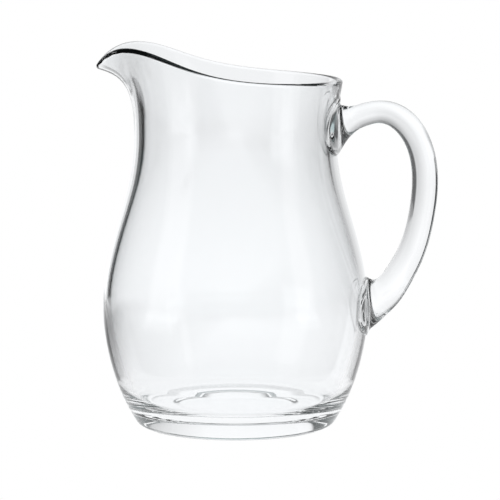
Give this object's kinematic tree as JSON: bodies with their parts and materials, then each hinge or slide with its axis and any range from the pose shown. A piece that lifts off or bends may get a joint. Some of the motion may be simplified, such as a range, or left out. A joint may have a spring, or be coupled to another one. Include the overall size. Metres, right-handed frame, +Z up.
{
  "type": "water jug",
  "caption": "Large clear glass water jug: round belly, waisted neck, raised pouring spout, thick base and an applied loop handle.",
  "frame": {"origin": "the middle of the jug's footprint box, on the plane it stands on; the body's own axis is 18.35 mm to the spout's side of it", "axes": "+Z is up, the spout points to -X, the handle to +X, and the jug is symmetric about the XZ plane"},
  "size_m": [0.1938, 0.151, 0.2166],
  "materials": {
    "body_glass": "clear, fire-polished, faintly wavy",
    "handle_glass": "clear, solid drawn glass, fire-polished"
  },
  "bodies": {
    "root": {"jug_body": "body_glass", "handle": "handle_glass"}
  },
  "joints": []
}
